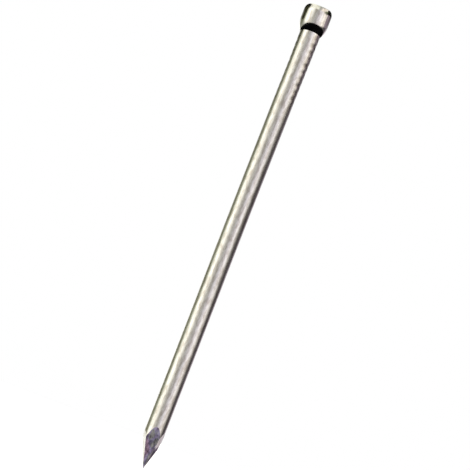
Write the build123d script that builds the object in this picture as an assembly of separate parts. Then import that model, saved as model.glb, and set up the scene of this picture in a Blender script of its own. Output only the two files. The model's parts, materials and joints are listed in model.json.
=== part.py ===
from build123d import *
from math import atan2, cos, radians, sin
import os

# Lost-head wire nail, 2.5 x 60 mm, cold-formed from one length of drawn steel wire.
# Frame, in mm: origin at the centre of the head's flat top, +Z out of the head along
# the wire, so that the tip is the lowest thing, at Z = -nail_length.
# Angles about the wire are in degrees, from -Y at 0 through +X at 90.

nail_length = 60.0
wire_diameter = 2.5

# Head, upset from the wire: a flat top with a rounded corner, a barrel, and an underside
# that curves in to meet the wire. Depths are measured down from the flat top.
head_diameter = 3.5
head_top_diameter = 2.3
head_corner_depth = 0.85
barrel_end_depth = 2.05
head_depth = 3.55

# Marks where the two gripping dies bit the wire: a row of shallow grooves on each of
# two opposite sides, deepest in the middle and running out round the wire.
grip_mark_count = 10
grip_mark_pitch = 0.87
grip_mark_bottom_radius = 0.6
grip_mark_bite = 0.04
grip_mark_half_angle = 75.0
grip_side = 50.0
first_grip_mark_depth = 4.0

# Diamond point, pinched off by four flat cuts that meet at the tip: the side each one
# faces, and how far up from the tip it starts. The cutters don't meet square, so the cuts
# aren't evenly spaced, and the tip stands a little off the axis.
point_cut_sides_and_lengths = ((4.0, 5.35), (72.0, 4.9), (180.0, 5.0), (284.0, 4.55))
tip_offset = 0.25
tip_side = 94.0

wire_radius = wire_diameter / 2
head_radius = head_diameter / 2


def around(side, radius, height):
    """The place at a side of the wire, a radius from its axis and at a height."""
    angle = radians(side - 90)
    return Vector(radius * cos(angle), radius * sin(angle), height)


def wire_with_head():
    """The wire with its upset head, turned about Z from one outline."""
    top_radius = head_top_diameter / 2
    middle_depth = (barrel_end_depth + head_depth) / 2
    with BuildPart() as turned:
        with BuildSketch(Plane.XZ):
            with BuildLine():
                Polyline((0, -nail_length), (0, 0), (top_radius, 0))
                EllipticalCenterArc(
                    (top_radius, -head_corner_depth),
                    head_radius - top_radius,
                    head_corner_depth,
                    start_angle=0,
                    arc_size=90,
                )
                Line((head_radius, -head_corner_depth), (head_radius, -barrel_end_depth))
                Bezier(
                    (head_radius, -barrel_end_depth),
                    (head_radius, -middle_depth),
                    (wire_radius, -head_depth),
                )
                Polyline((wire_radius, -head_depth), (wire_radius, -nail_length), (0, -nail_length))
            make_face()
        revolve(axis=Axis.Z)
    return turned.part


def grip_marks():
    """Rings set off to one side of the wire, so that each bites most on the other side."""
    offset = grip_mark_bite / (1 - cos(radians(grip_mark_half_angle)))
    ring_radius = wire_radius + grip_mark_bottom_radius - grip_mark_bite + offset
    marks = []
    for index in range(grip_mark_count):
        height = -(first_grip_mark_depth + index * grip_mark_pitch)
        for side in (grip_side, grip_side + 180):
            ring = Torus(ring_radius, grip_mark_bottom_radius)
            marks.append(Pos(around(side, -offset, height)) * ring)
    return marks


def point_cuts():
    """Blocks whose inner faces are the four sloping flats that meet at the tip."""
    tip = around(tip_side, tip_offset, -nail_length)
    block = 20.0
    cuts = []
    for side, length in point_cut_sides_and_lengths:
        slope = atan2(wire_radius - tip.dot(around(side, 1, 0)), length)
        flat = Plane(origin=tip, z_dir=around(side, cos(slope), -sin(slope)))
        cuts.append(flat * Box(block, block, block, align=(Align.CENTER, Align.CENTER, Align.MIN)))
    return cuts


def make_nail():
    nail = wire_with_head() - grip_marks() - point_cuts()
    nail.label = "nail"
    return nail


os.makedirs("parts", exist_ok=True)
nail = make_nail()
export_step(nail, "parts/nail.step")
print("nail volume", round(nail.volume, 1), "mm3 in", len(nail.solids()), "solid")
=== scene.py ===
import bpy, json, math
from mathutils import Matrix, Vector, noise


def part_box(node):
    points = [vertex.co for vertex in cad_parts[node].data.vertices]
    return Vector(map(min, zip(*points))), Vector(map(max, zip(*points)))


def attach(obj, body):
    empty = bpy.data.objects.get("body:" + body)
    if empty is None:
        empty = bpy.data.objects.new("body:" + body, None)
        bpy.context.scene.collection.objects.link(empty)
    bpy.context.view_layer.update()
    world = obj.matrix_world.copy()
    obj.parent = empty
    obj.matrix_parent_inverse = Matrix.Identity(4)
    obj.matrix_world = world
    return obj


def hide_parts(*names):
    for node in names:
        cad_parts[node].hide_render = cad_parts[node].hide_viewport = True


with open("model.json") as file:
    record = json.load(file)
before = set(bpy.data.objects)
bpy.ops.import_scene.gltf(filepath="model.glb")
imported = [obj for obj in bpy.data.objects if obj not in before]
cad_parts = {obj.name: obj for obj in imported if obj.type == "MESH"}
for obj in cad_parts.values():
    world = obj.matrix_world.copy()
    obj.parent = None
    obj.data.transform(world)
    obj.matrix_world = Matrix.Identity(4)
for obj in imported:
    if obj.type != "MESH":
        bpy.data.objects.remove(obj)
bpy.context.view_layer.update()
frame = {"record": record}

mm = 0.001
fine = 0.00001 * mm         # the nail is small, so operators get a far finer threshold than usual
sameFlat = 0.9995           # faces whose normals agree this well belong to one cut
nodeLow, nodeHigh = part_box("nail")
mounts = {m["name"]: m for m in frame["record"]["mounts"]}
wireRadius = mounts["shank"]["dims"]["r_mm"] * mm
headRadius = (nodeHigh.x - nodeLow.x) / 2
nailLength = nodeHigh.z - nodeLow.z
print("frame loaded, nail", round(nailLength / mm, 2), "mm long")


def startFresh():
    if bpy.context.mode != "OBJECT":
        bpy.ops.object.mode_set(mode="OBJECT")
    bpy.ops.object.select_all(action="DESELECT")


def makeActive(piece):
    startFresh()
    bpy.context.view_layer.objects.active = piece
    piece.select_set(True)


def pick(piece, kind, test):
    # in edit mode, selects only the verts, edges or faces whose test is true
    bpy.ops.mesh.select_mode(type=kind)
    bpy.ops.mesh.select_all(action="DESELECT")
    bpy.ops.object.mode_set(mode="OBJECT")
    kinds = {"VERT": piece.data.vertices, "EDGE": piece.data.edges, "FACE": piece.data.polygons}
    for part in kinds[kind]:
        part.select = test(part)
    bpy.ops.object.mode_set(mode="EDIT")


def aroundWire(side, radius, height):
    # sides go round from -Y at 0 through +X at 90, as on the CAD part
    a = math.radians(side - 90)
    return Vector((radius * math.cos(a), radius * math.sin(a), height))


def sideOf(place):
    return math.degrees(math.atan2(place.x, -place.y))


def depthOf(v):
    return -v.co.z / mm


def smoothFall(value, start, end):
    # 1 up to start, 0 from end on, and a soft slope between
    t = min(max((value - start) / (end - start), 0), 1)
    return 1 - t * t * (3 - 2 * t)


# the nail is one length of wire, so it is one piece; its sizes are in mm
nailShape = {
    "roundFaces": 128,
    "topRadius": 1.15,          # flat top, where the hammer lands
    "cornerDepth": 0.85,
    "barrelEnd": 2.05,
    "headDepth": 3.55,
    "cornerRings": 12,
    "undersideRings": 16,
    "gripTop": 3.6,             # the dies held this stretch
    "gripBottom": 12.6,
    "gripRings": 150,
    "shankRings": 60,
    "smoothAngle": 25,          # faces that meet at less than this are shaded as one
}
pointShape = {
    "cuts": ((4.0, 5.35), (72.0, 4.9), (180.0, 5.0), (284.0, 4.55)),    # side, length
    "tipSide": 94.0,
    "tipOffset": 0.25,
    "tipBlunt": 0.05,
    "ridgeBevel": 0.02,
    # for each cut, the height over the tip above which it is sheared clean; torn below
    "tornBelow": (9, 3.0, 9, -1),
    "tornWander": 0.35,         # how far that line wanders
    "tearStep": 0.12,           # the cut flats get a grid this fine
    "tearDepth": 0.03,
    "tearSize": 0.35,
    "cleanRoughness": 0.25,     # how rough a clean cut is, beside a torn one
    "scorched": (0, 1, 0, 0),   # how far the cutter's heat browned each cut's torn part
    "scorchFade": 0.7,          # the share of the torn height where that starts to fade
}


def extrudeRing(drop, scale):
    # pulls the selected ring straight down, then sizes it
    bpy.ops.mesh.extrude_region_move(TRANSFORM_OT_translate={"value": (0, 0, -drop)})
    if scale != 1:
        bpy.ops.transform.resize(value=(scale, scale, 1))


def makeNailBlank(s):
    startFresh()
    topRadius = s["topRadius"] * mm
    bpy.ops.mesh.primitive_circle_add(vertices=s["roundFaces"], radius=topRadius, fill_type="NGON")
    piece = bpy.context.object
    piece.name = "lost_head_nail"
    piece.data.name = "lost_head_nail"
    bpy.ops.object.mode_set(mode="EDIT")
    bpy.ops.mesh.select_mode(type="EDGE")
    bpy.ops.mesh.select_all(action="SELECT")
    # the outline below the flat top, as (depth, radius) down the nail
    outline = [(0, topRadius)]
    for i in range(1, s["cornerRings"] + 1):
        a = math.pi / 2 * i / s["cornerRings"]
        depth = s["cornerDepth"] * mm * (1 - math.cos(a))
        outline.append((depth, topRadius + (headRadius - topRadius) * math.sin(a)))
    outline.append((s["barrelEnd"] * mm, headRadius))
    for i in range(1, s["undersideRings"] + 1):
        t = i / s["undersideRings"]
        depth = (s["barrelEnd"] + (s["headDepth"] - s["barrelEnd"]) * t) * mm
        outline.append((depth, headRadius - (headRadius - wireRadius) * t * t))
    outline.append((s["gripTop"] * mm, wireRadius))
    outline.append((s["gripBottom"] * mm, wireRadius))
    outline.append((nailLength, wireRadius))
    for (above, radiusAbove), (below, radius) in zip(outline, outline[1:]):
        extrudeRing(below - above, radius / radiusAbove)
    bpy.ops.mesh.edge_face_add()
    bpy.ops.mesh.select_all(action="SELECT")
    bpy.ops.mesh.normals_make_consistent(inside=False)
    return piece


def addRings(piece, top, bottom, rings):
    # cuts the upright edges between two rings into short lengths
    verts = piece.data.vertices
    slack = 0.02 * mm

    def upright(edge):
        a, b = (verts[v].co for v in edge.vertices)
        high, low = max(a.z, b.z), min(a.z, b.z)
        return abs(high + top) < slack and abs(low + bottom) < slack

    pick(piece, "EDGE", upright)
    bpy.ops.mesh.subdivide(number_cuts=rings, quadcorner="INNERVERT")


def cutAcross(place, normal, **more):
    bpy.ops.mesh.bisect(plane_co=place, plane_no=normal, threshold=fine, **more)


def cutPoint(piece, s):
    # four flat cuts that meet at the tip, as on the CAD part
    tip = aroundWire(s["tipSide"], s["tipOffset"] * mm, -nailLength)
    bpy.ops.mesh.select_mode(type="VERT")
    normals = []
    for side, length in s["cuts"]:
        slope = math.atan2(wireRadius - tip.dot(aroundWire(side, 1, 0)), length * mm)
        normals.append(aroundWire(side, math.cos(slope), -math.sin(slope)))
        bpy.ops.mesh.select_all(action="SELECT")
        cutAcross(tip, normals[-1], use_fill=True, clear_outer=True)
    bpy.ops.mesh.select_all(action="SELECT")
    bluntEnd = tip + Vector((0, 0, s["tipBlunt"] * mm))
    cutAcross(bluntEnd, (0, 0, -1), use_fill=True, clear_outer=True)
    return tip, normals


def isCut(face, normals):
    return any(face.normal.dot(normal) > sameFlat for normal in normals)


def bevelRidges(piece, s, normals):
    # the ridges where two cuts meet, worn just enough to catch the light
    piece.update_from_editmode()
    owners = {}
    for face in piece.data.polygons:
        if isCut(face, normals):
            for key in face.edge_keys:
                owners[key] = owners.get(key, 0) + 1
    ridges = {key for key, count in owners.items() if count == 2}
    pick(piece, "EDGE", lambda edge: edge.key in ridges)
    bpy.ops.mesh.bevel(offset=s["ridgeBevel"] * mm, segments=2, clamp_overlap=False)


def gridCuts(piece, s, tip, normals):
    # lays a fine grid over the cut flats, so that they can be roughened as real metal
    step = s["tearStep"] * mm
    rows = int(max(length for side, length in s["cuts"]) * mm / step)
    reach = int(wireRadius / step)
    for (side, length), normal in zip(s["cuts"], normals):
        pick(piece, "FACE", lambda face: isCut(face, [normal]))
        bpy.ops.mesh.hide(unselected=True)      # a bisect acts on all that shows and is selected
        along = aroundWire(side + 90, 1, 0)
        planes = [(tip + Vector((0, 0, i * step)), (0, 0, 1)) for i in range(1, rows + 1)]
        planes += [(tip + along * (i + 0.5) * step, along) for i in range(-reach, reach + 1)]
        for place, across in planes:
            bpy.ops.mesh.select_all(action="SELECT")
            cutAcross(place, across)
        bpy.ops.mesh.reveal(select=False)


def pressBy(piece, name, amount, weigh, direction="NORMAL", texture=None):
    # a Displace modifier pushes each vert by amount (mm) times its weight
    makeActive(piece)
    group = piece.vertex_groups.new(name=name)
    leastWeight = 0.001
    for v in piece.data.vertices:
        weight = weigh(v)
        if weight > leastWeight:
            group.add([v.index], weight, "REPLACE")
    press = piece.modifiers.new(name, "DISPLACE")
    press.vertex_group = name
    press.strength = amount * mm
    press.direction = direction
    press.mid_level = 0.5 if texture else 0
    press.texture = texture
    bpy.ops.object.modifier_apply(modifier=press.name)


gripMarks = {
    "bites": (0.5, 1.0, 0.8, 0.45, 0.9, 0.6, 0.4, 0.7, 0.35, 0.5),      # how deep each one went
    "first": 4.0,
    "pitch": 0.87,
    "width": 0.80,
    "depth": 0.035,
    "halfAngle": 60.0,
    "side": 68.0,
    "slack": 0.01,              # takes in the rings at both ends of the gripped stretch
}


def gripWeight(v):
    g = gripMarks
    depth = depthOf(v)
    if not nailShape["gripTop"] - g["slack"] < depth < nailShape["gripBottom"] + g["slack"]:
        return 0
    turn = (sideOf(v.co) - g["side"]) % 180
    fromMark = min(turn, 180 - turn)
    across = math.cos(math.radians(90 * min(fromMark / g["halfAngle"], 1)))
    nearest = min(max(round((depth - g["first"]) / g["pitch"]), 0), len(g["bites"]) - 1)
    away = abs(depth - g["first"] - nearest * g["pitch"]) / (g["width"] / 2)
    along = math.cos(math.radians(90 * min(away, 1))) ** 2
    return across * along * g["bites"][nearest]


# no struck wire is quite true; sizes and depths in mm
handMade = {
    "neckSwell": 0.030,         # the dies leave the wire a touch thicker under the head
    "neckSwellEnd": 9.0,
    "neckRise": 0.27,           # the dies met unevenly, so the neck sits higher in front
    "neckRiseFull": 0.3,        # it is full this far above the foot of the head
    "neckRiseEnd": 1.5,         # and gone this far below it
    "bowRight": 0.045,          # the wire just under the head stands a little to the right
    "bowRightFrom": 6.5,
    "bowRightEnd": 13.0,
    "bowLeft": 0.035,           # and the middle of the wire bows left
    "bowLeftMiddle": 28.0,
    "bowLeftReach": 16.0,
}


def underside(depth, early=0):
    # 0 on the barrel, rising softly over the head's underside to 1 at its foot or earlier
    return 1 - smoothFall(depth, nailShape["barrelEnd"], nailShape["headDepth"] - early)


def swellWeight(v):
    depth = depthOf(v)
    if depth < nailShape["headDepth"]:
        return underside(depth)
    return smoothFall(depth, nailShape["headDepth"], handMade["neckSwellEnd"])


def neckRiseWeight(v):
    depth = depthOf(v)
    foot = nailShape["headDepth"]
    if depth < foot:
        near = underside(depth, handMade["neckRiseFull"])
    else:
        near = smoothFall(depth, foot, foot + handMade["neckRiseEnd"])
    return near * max(math.cos(math.radians(sideOf(v.co))), 0)


def bowRightWeight(v):
    depth = depthOf(v)
    if depth < nailShape["headDepth"]:
        return underside(depth)
    return smoothFall(depth, handMade["bowRightFrom"], handMade["bowRightEnd"])


def bowLeftWeight(v):
    fromMiddle = abs(depthOf(v) - handMade["bowLeftMiddle"])
    return smoothFall(fromMiddle, 0, handMade["bowLeftReach"])


nail = makeNailBlank(nailShape)
addRings(nail, nailShape["gripTop"] * mm, nailShape["gripBottom"] * mm, nailShape["gripRings"])
addRings(nail, nailShape["gripBottom"] * mm, nailLength, nailShape["shankRings"])
tip, cutNormals = cutPoint(nail, pointShape)
bevelRidges(nail, pointShape, cutNormals)
gridCuts(nail, pointShape, tip, cutNormals)
print("nail blank cut")


def isBelowTear(face, height):
    wander = pointShape["tornWander"] * noise.noise(face.center / (pointShape["tearSize"] * mm))
    return face.center.z < tip.z + (height + wander) * mm


startFresh()
tornFaces = set()
scorchOf = {}
for normal, height, scorch in zip(cutNormals, pointShape["tornBelow"], pointShape["scorched"]):
    flat = [face for face in nail.data.polygons if isCut(face, [normal])]
    torn = [face for face in flat if isBelowTear(face, height)]
    tornFaces |= {face.index for face in torn}
    for v in {v for face in torn for v in face.vertices}:
        overTip = nail.data.vertices[v].co.z - tip.z
        fadeStart = pointShape["scorchFade"] * height * mm
        scorchOf[v] = scorch * smoothFall(overTip, fadeStart, height * mm)
cutFaces = {face.index for face in nail.data.polygons if isCut(face, cutNormals)}
outsideCut = {v for face in nail.data.polygons if face.index not in cutFaces for v in face.vertices}
tear = bpy.data.textures.new("tear", "CLOUDS")
tear.noise_scale = pointShape["tearSize"] * mm
tear.noise_depth = 2


def tearWeight(v):
    if v.index in outsideCut:
        return 0
    return 1 if v.index in scorchOf else pointShape["cleanRoughness"]


pressBy(nail, "tear", pointShape["tearDepth"], tearWeight, texture=tear)
# the grip-mark weight is stored too, and the steel is coloured darker where the marks bite deepest
for name in ("scorched", "darkInGripMarks"):
    nail.data.attributes.new(name, "FLOAT", "POINT")
scorched, darkInGripMarks = nail.data.attributes["scorched"], nail.data.attributes["darkInGripMarks"]
for v in nail.data.vertices:
    darkInGripMarks.data[v.index].value = gripWeight(v)
    scorched.data[v.index].value = scorchOf.get(v.index, 0)
pressBy(nail, "gripBite", -gripMarks["depth"], gripWeight)
pressBy(nail, "neckSwell", handMade["neckSwell"], swellWeight)
pressBy(nail, "neckRise", handMade["neckRise"], neckRiseWeight, direction="Z")
pressBy(nail, "bowRight", handMade["bowRight"], bowRightWeight, direction="X")
pressBy(nail, "bowLeft", -handMade["bowLeft"], bowLeftWeight, direction="X")

makeActive(nail)
bpy.ops.object.shade_smooth_by_angle(angle=math.radians(nailShape["smoothAngle"]))
# the rims of the cuts stay sharp however flat they meet the wire
bpy.ops.object.mode_set(mode="EDIT")
besideEdge = {}
for face in nail.data.polygons:
    for key in face.edge_keys:
        besideEdge.setdefault(key, set()).add(face.index in cutFaces)
pick(nail, "EDGE", lambda edge: len(besideEdge[edge.key]) == 2)
bpy.ops.mesh.mark_sharp()
startFresh()
print("nail made,", len(nail.data.polygons), "faces")


def toLinear(hexColour):
    steps = [int(hexColour[i:i + 2], 16) / 255 for i in (0, 2, 4)]
    return tuple(c / 12.92 if c < 0.04045 else ((c + 0.055) / 1.055) ** 2.4 for c in steps) + (1,)


def addNode(tree, kind, settings=None, links=None):
    node = tree.nodes.new(kind)
    for name, value in (settings or {}).items():
        if isinstance(name, str) and hasattr(node, name):
            setattr(node, name, value)
        else:
            node.inputs[name].default_value = value
    for name, source in (links or {}).items():
        tree.links.new(source, node.inputs[name])
    return node


def fillRamp(node, stops):
    ramp = node.color_ramp
    ramp.interpolation = "LINEAR"
    while len(ramp.elements) > 1:
        ramp.elements.remove(ramp.elements[-1])
    ramp.elements[0].position, ramp.elements[0].color = stops[0][0], (*stops[0][1], 1)
    for place, colour in stops[1:]:
        ramp.elements.new(place).color = (*colour, 1)


def newMaterial(name):
    material = bpy.data.materials.new(name)
    material.use_nodes = True
    material.node_tree.nodes.clear()
    return material, material.node_tree


steelLook = {
    "steel": "D0CFCB",
    "soap": "B2ADA6",           # thin drawing soap left in the lines
    "gripMarkColour": "98928A",      # darker in the grip marks, most where they bite deepest
    "lineScale": (9000, 9000, 120),         # fine lines, 0.11 x 8 mm
    "lineBump": (0.15, 0.00001),            # strength and height
    "streakScale": (3300, 3300, 900),       # streaks of soap, 0.3 x 1.1 mm
    "shankRoughness": 0.26,
    "headRoughness": 0.17,
    "headEnds": (3.5, 3.9),     # the depths, in mm, between which one passes into the other
    "tornDark": "625C67",
    "tornLight": "C4BEC6",
    "tornRoughness": 0.6,
    "tornMetallic": 0.85,       # the torn fibres hold a little scale
    "tearScale": (2200, 2200, 1100),        # 0.45 x 0.9 mm
    "tearBump": (0.5, 0.00004),
    "tintScale": (1300, 1300, 700),         # 0.8 x 1.4 mm
    "tintPlace": (3, 5, 0),     # which part of the pattern falls on the cuts
    "scorch": "D2BCCE",
    "heatTints": [(0.36, "C9CFC6"), (0.44, "C3C3DE"), (0.54, "CEC0E0"), (0.64, "D9BFD2")],
}


def brightDrawnSteel(s):
    # mild steel wire drawn bright through a die: a clear but soft mirror across, with
    # fine lines along its length; the head was struck in a polished die, so it is clearer
    material, tree = newMaterial("brightDrawnSteel")
    place = addNode(tree, "ShaderNodeTexCoord")
    fineLines = addNode(tree, "ShaderNodeMapping", {"Scale": s["lineScale"]},
                        {"Vector": place.outputs["Object"]})
    drawn = addNode(tree, "ShaderNodeTexNoise", {"Scale": 1, "Detail": 4},
                    {"Vector": fineLines.outputs[0]})
    strength, height = s["lineBump"]
    bump = addNode(tree, "ShaderNodeBump", {"Strength": strength, "Distance": height},
                   {"Height": drawn.outputs["Fac"]})
    streaks = addNode(tree, "ShaderNodeMapping", {"Scale": s["streakScale"]},
                      {"Vector": place.outputs["Object"]})
    streak = addNode(tree, "ShaderNodeTexNoise", {"Scale": 1, "Detail": 3, "Roughness": 0.65},
                     {"Vector": streaks.outputs[0]})
    colour = addNode(tree, "ShaderNodeValToRGB", {}, {0: streak.outputs["Fac"]})
    fillRamp(colour, [(0.38, toLinear(s["soap"])[:3]), (0.58, toLinear(s["steel"])[:3])])
    # darker colour in the grip marks, by how deep each one bites
    marks = addNode(tree, "ShaderNodeAttribute", {"attribute_name": "darkInGripMarks"})
    markedDarker = addNode(tree, "ShaderNodeMix", {"data_type": "RGBA", 7: toLinear(s["gripMarkColour"])},
                     {0: marks.outputs["Fac"], 6: colour.outputs[0]})
    split = addNode(tree, "ShaderNodeSeparateXYZ", {}, {"Vector": place.outputs["Object"]})
    headEnd, shankStart = s["headEnds"]
    clear = addNode(tree, "ShaderNodeMapRange", {
        1: -shankStart * mm, 2: -headEnd * mm, 3: s["shankRoughness"], 4: s["headRoughness"],
    }, {0: split.outputs["Z"]})
    steel = addNode(tree, "ShaderNodeBsdfPrincipled", {"Metallic": 1}, {
        "Base Color": markedDarker.outputs[2], "Roughness": clear.outputs[0], "Normal": bump.outputs[0],
    })
    addNode(tree, "ShaderNodeOutputMaterial", {}, {"Surface": steel.outputs[0]})
    return material


def tornSteel(s):
    # the same steel where cutters sheared it: torn fine, so it scatters what it reflects,
    # with a faint violet tint from the heat of the cut
    material, tree = newMaterial("tornSteel")
    place = addNode(tree, "ShaderNodeTexCoord")
    fibres = addNode(tree, "ShaderNodeMapping", {"Scale": s["tearScale"]},
                     {"Vector": place.outputs["Object"]})
    torn = addNode(tree, "ShaderNodeTexNoise", {"Scale": 1, "Detail": 3, "Roughness": 0.6},
                   {"Vector": fibres.outputs[0]})
    shade = addNode(tree, "ShaderNodeValToRGB", {}, {0: torn.outputs["Fac"]})
    fillRamp(shade, [(0.38, toLinear(s["tornDark"])[:3]), (0.62, toLinear(s["tornLight"])[:3])])
    patches = addNode(tree, "ShaderNodeMapping",
                      {"Location": s["tintPlace"], "Scale": s["tintScale"]},
                      {"Vector": place.outputs["Object"]})
    heat = addNode(tree, "ShaderNodeTexNoise", {"Scale": 1, "Detail": 1},
                   {"Vector": patches.outputs[0]})
    tint = addNode(tree, "ShaderNodeValToRGB", {}, {0: heat.outputs["Fac"]})
    fillRamp(tint, [(share, toLinear(colour)[:3]) for share, colour in s["heatTints"]])
    tinted = addNode(tree, "ShaderNodeMix",
                     {"data_type": "RGBA", "blend_type": "MULTIPLY", "Factor": 1.0},
                     {6: shade.outputs[0], 7: tint.outputs[0]})
    browned = addNode(tree, "ShaderNodeAttribute", {"attribute_name": "scorched"})
    scorched = addNode(tree, "ShaderNodeMix",
                       {"data_type": "RGBA", "blend_type": "MULTIPLY", 7: toLinear(s["scorch"])},
                       {0: browned.outputs["Fac"], 6: tinted.outputs[2]})
    strength, height = s["tearBump"]
    bump = addNode(tree, "ShaderNodeBump", {"Strength": strength, "Distance": height},
                   {"Height": torn.outputs["Fac"]})
    steel = addNode(tree, "ShaderNodeBsdfPrincipled",
                    {"Metallic": s["tornMetallic"], "Roughness": s["tornRoughness"]},
                    {"Base Color": scorched.outputs[2], "Normal": bump.outputs[0]})
    addNode(tree, "ShaderNodeOutputMaterial", {}, {"Surface": steel.outputs[0]})
    return material


nail.data.materials.clear()
nail.data.materials.append(brightDrawnSteel(steelLook))
nail.data.materials.append(tornSteel(steelLook))
for face in nail.data.polygons:
    face.material_index = int(face.index in tornFaces)
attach(nail, "root")
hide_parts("nail")
print("materials done")


floorCard = {
    "size": 6,                  # m
    "colour": "F4F4F2",
    "roughness": 0.9,
    "glow": 0.55,               # brings it up to the white of the backdrop
}


def makeFloor(s):
    startFresh()
    bpy.ops.mesh.primitive_plane_add(size=s["size"], location=(0, 0, nodeLow.z))
    floor = bpy.context.object
    floor.name = "floor"
    material, tree = newMaterial("mattWhiteCard")
    card = addNode(tree, "ShaderNodeBsdfPrincipled", {
        "Base Color": toLinear(s["colour"]),
        "Roughness": s["roughness"],
        "Emission Color": toLinear("FFFFFF"),
        "Emission Strength": s["glow"],
    })
    addNode(tree, "ShaderNodeOutputMaterial", {}, {"Surface": card.outputs[0]})
    floor.data.materials.append(material)
    floor.visible_glossy = False


surround = {
    "strength": 4.0,
    # degrees round from the front, to the right; brightness
    "round": [
        (-180, (0.50, 0.50, 0.49)),     # the white backdrop
        (-162, (0.50, 0.50, 0.48)),
        (-152, (0.40, 0.40, 0.38)),
        (-140, (0.06, 0.06, 0.045)),    # unlit room, left and behind
        (-120, (0.08, 0.085, 0.053)),
        (-102, (0.08, 0.083, 0.06)),
        (-80, (0.42, 0.42, 0.37)),
        (-64, (0.60, 0.58, 0.53)),      # large soft box, left
        (-45, (0.40, 0.39, 0.36)),
        (-22, (0.18, 0.175, 0.16)),
        (0, (0.155, 0.15, 0.15)),       # camera side
        (22, (0.28, 0.265, 0.285)),
        (42, (0.42, 0.40, 0.41)),       # soft box, right
        (56, (0.29, 0.28, 0.27)),
        (74, (0.06, 0.055, 0.052)),
        (95, (0.02, 0.018, 0.018)),     # unlit room, right
        (122, (0.03, 0.025, 0.03)),
        (136, (0.09, 0.078, 0.09)),
        (146, (0.25, 0.22, 0.243)),
        (160, (0.31, 0.29, 0.305)),
        (170, (0.42, 0.41, 0.41)),
        (180, (0.50, 0.50, 0.49)),
    ],
    "floorGlow": (0.2, 0.2, 0.19),
    "floorFrom": -0.15,         # height of the direction where the pale floor starts to show
    "floorFull": -0.5,
    "floorShare": 0.7,          # the rest is what stands round it
    "overheadTilt": 0.3,        # the soft box overhead comes this much lower behind the nail
    "overheadFrom": 0.30,       # height of the direction where it starts to show
    "overheadFull": 0.42,
    "cornerTurn": 0.75,         # it ends left and right, sooner behind the nail than in front
    "cornerFrom": 0.83,
    "cornerEnd": 0.88,
    "cornerShade": 0.01,
    # the soft box overhead, from left to right
    "overhead": [
        (-1, (0.34, 0.34, 0.30)),
        (-0.5, (0.38, 0.375, 0.33)),
        (-0.12, (0.36, 0.36, 0.31)),
        (0.03, (0.17, 0.175, 0.155)),
        (0.22, (0.19, 0.185, 0.18)),
        (0.36, (0.42, 0.38, 0.34)),
        (0.66, (0.42, 0.40, 0.36)),
        (0.76, (0.06, 0.07, 0.035)),
        (1, (0.06, 0.07, 0.035)),
    ],
}


def makeSurround(s):
    # pale to the camera; for reflections, soft boxes left, right and overhead, dark between
    world = bpy.data.worlds.new("studioSurround")
    bpy.context.scene.world = world
    world.use_nodes = True
    tree = world.node_tree
    tree.nodes.clear()
    way = addNode(tree, "ShaderNodeTexCoord")
    split = addNode(tree, "ShaderNodeSeparateXYZ", {}, {"Vector": way.outputs["Generated"]})
    front = addNode(tree, "ShaderNodeMath", {"operation": "MULTIPLY", 1: -1.0},
                    {0: split.outputs["Y"]})
    turn = addNode(tree, "ShaderNodeMath", {"operation": "ARCTAN2"},
                   {0: split.outputs["X"], 1: front.outputs[0]})
    roundPlace = addNode(tree, "ShaderNodeMapRange", {1: -math.pi, 2: math.pi, 3: 0.0, 4: 1.0},
                         {0: turn.outputs[0]})
    roundRamp = addNode(tree, "ShaderNodeValToRGB", {}, {0: roundPlace.outputs[0]})
    fillRamp(roundRamp, [((side + 180) / 360, colour) for side, colour in s["round"]])
    down = addNode(tree, "ShaderNodeMapRange", {
        1: s["floorFull"], 2: s["floorFrom"], 3: s["floorShare"], 4: 0.0,
    }, {0: split.outputs["Z"]})
    level = addNode(tree, "ShaderNodeMix", {"data_type": "RGBA", 7: (*s["floorGlow"], 1)},
                    {0: down.outputs[0], 6: roundRamp.outputs[0]})
    leftToRight = addNode(tree, "ShaderNodeMapRange", {1: -1.0, 2: 1.0, 3: 0.0, 4: 1.0},
                          {0: split.outputs["X"]})
    overRamp = addNode(tree, "ShaderNodeValToRGB", {}, {0: leftToRight.outputs[0]})
    fillRamp(overRamp, [((x + 1) / 2, colour) for x, colour in s["overhead"]])
    toSide = addNode(tree, "ShaderNodeMath", {"operation": "ABSOLUTE"}, {0: split.outputs["X"]})
    toCorner = addNode(tree, "ShaderNodeMath", {"operation": "MULTIPLY_ADD", 1: s["cornerTurn"]},
                       {0: split.outputs["Y"], 2: toSide.outputs[0]})
    overEnd = addNode(tree, "ShaderNodeMapRange", {
        1: s["cornerFrom"], 2: s["cornerEnd"], 3: 1.0, 4: s["cornerShade"],
    }, {0: toCorner.outputs[0]})
    over = addNode(tree, "ShaderNodeMix",
                   {"data_type": "RGBA", "blend_type": "MULTIPLY", "Factor": 1.0},
                   {6: overRamp.outputs[0], 7: overEnd.outputs[0]})
    toTop = addNode(tree, "ShaderNodeVectorMath",
                    {"operation": "DOT_PRODUCT", 1: (0, s["overheadTilt"], 1)},
                    {0: way.outputs["Generated"]})
    above = addNode(tree, "ShaderNodeMapRange", {
        1: s["overheadFrom"], 2: s["overheadFull"], 3: 0.0, 4: 1.0,
    }, {0: toTop.outputs["Value"]})
    room = addNode(tree, "ShaderNodeMix", {"data_type": "RGBA"},
                   {0: above.outputs[0], 6: level.outputs[2], 7: over.outputs[2]})
    seen = addNode(tree, "ShaderNodeBackground", {"Color": (1, 1, 1, 1), "Strength": 1.0})
    lit = addNode(tree, "ShaderNodeBackground", {"Strength": s["strength"]},
                  {"Color": room.outputs[2]})
    ray = addNode(tree, "ShaderNodeLightPath")
    shown = addNode(tree, "ShaderNodeMixShader", {},
                    {0: ray.outputs["Is Camera Ray"], 1: lit.outputs[0], 2: seen.outputs[0]})
    addNode(tree, "ShaderNodeOutputWorld", {}, {"Surface": shown.outputs[0]})


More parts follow.
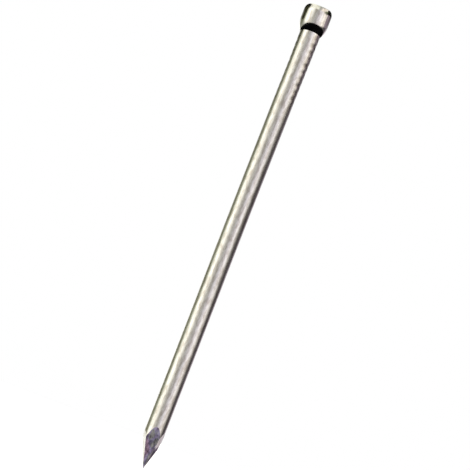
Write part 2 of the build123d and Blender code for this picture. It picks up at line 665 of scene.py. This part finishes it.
# three cards on the right: two light the head and the neck, and one the lower end; sizes
# in mm
sideCards = {
    "warmCard": {"side": 71.0, "distance": 50.0, "height": 3.5, "size": (31.5, 19.0),
                 "milliwatts": 2.0, "colour": "FFF6EC"},
    "dimCard": {"side": 103.0, "distance": 50.0, "height": 6.0, "size": (32.0, 14.0),
                "milliwatts": 0.42, "colour": "FFE6FA"},
    "lowCard": {"side": 66.0, "distance": 30.0, "height": -50.0, "size": (16.0, 30.0),
                "milliwatts": 0.6, "colour": "FFF6F2"},
}


def makeSideCard(name, s):
    place = aroundWire(s["side"], s["distance"] * mm, s["height"] * mm)
    bpy.ops.object.light_add(type="AREA", location=place)
    card = bpy.context.object
    card.name = name
    card.rotation_euler = Vector((-place.x, -place.y, 0)).to_track_quat("-Z", "Y").to_euler()
    card.data.shape = "RECTANGLE"
    card.data.size, card.data.size_y = (side * mm for side in s["size"])
    card.data.energy = s["milliwatts"] / 1000
    card.data.color = toLinear(s["colour"])[:3]
    card.visible_camera = False


# black cards that only reflections see: the flag darkens the head's left edge, and the
# collar the cone under the head; sizes in mm
blackCards = {
    "flag": {"place": (-37.08, 14.98, 9.5), "across": (32.0, 23.0), "facing": (1, -0.404, 0),
             "colour": "3A3A22"},
    "collar": {"place": (1.6, -2.6, -3.62), "across": (8.4, 12.6), "facing": (0, 0, 1),
               "colour": "050508"},
}


def makeBlackCard(name, s):
    # a disc stretched to size, dark in front and nothing at all from behind
    startFresh()
    place = Vector(s["place"]) * mm
    bpy.ops.mesh.primitive_circle_add(vertices=64, radius=0.5, fill_type="NGON", location=place)
    card = bpy.context.object
    card.name = name
    card.rotation_euler = Vector(s["facing"]).to_track_quat("Z", "Y").to_euler()
    card.scale = (s["across"][0] * mm, s["across"][1] * mm, 1)
    material, tree = newMaterial(name + "Felt")
    felt = addNode(tree, "ShaderNodeEmission", {"Color": toLinear(s["colour"])})
    clear = addNode(tree, "ShaderNodeBsdfTransparent")
    face = addNode(tree, "ShaderNodeNewGeometry")
    oneSided = addNode(tree, "ShaderNodeMixShader", {}, {
        0: face.outputs["Backfacing"], 1: felt.outputs[0], 2: clear.outputs[0],
    })
    addNode(tree, "ShaderNodeOutputMaterial", {}, {"Surface": oneSided.outputs[0]})
    card.data.materials.append(material)
    card.visible_camera = card.visible_shadow = card.visible_diffuse = False


studio = {
    "cameraDistance": 430,      # mm
    "cameraElevation": -3.5,
    "lean": 21.264,             # the nail leans this far to the right
    "frameWidth": 56.87,        # mm across the frame at the nail
    "frameShift": (0.512, 0.225),
    "sensorWidth": 36,
    "nearest": 0.01,            # the camera sees from here, in m
    "farthest": 20,
}


def makeCamera(s):
    lean, up = math.radians(s["lean"]), math.radians(s["cameraElevation"])
    back = Vector((0, -math.cos(up), math.sin(up)))
    levelUp = Vector((0, math.sin(up), math.cos(up)))
    across = Vector((1, 0, 0))
    pictureUp = math.cos(lean) * levelUp - math.sin(lean) * across
    pictureRight = math.cos(lean) * across + math.sin(lean) * levelUp
    middle = (nodeLow + nodeHigh) / 2
    target = middle + (pictureRight * s["frameShift"][0] + pictureUp * s["frameShift"][1]) * mm
    data = bpy.data.cameras.new("camera")
    camera = bpy.data.objects.new("camera", data)
    bpy.context.scene.collection.objects.link(camera)
    turned = Matrix((pictureRight, pictureUp, back)).transposed().to_4x4()
    camera.matrix_world = Matrix.Translation(target + back * s["cameraDistance"] * mm) @ turned
    data.sensor_width = s["sensorWidth"]
    data.lens = data.sensor_width * s["cameraDistance"] / s["frameWidth"]
    data.clip_start, data.clip_end = s["nearest"], s["farthest"]
    bpy.context.scene.camera = camera


makeFloor(floorCard)
makeSurround(surround)
for name, card in sideCards.items():
    makeSideCard(name, card)
for name, card in blackCards.items():
    makeBlackCard(name, card)
makeCamera(studio)
bpy.context.scene.view_settings.view_transform = "Standard"
print("studio ready")
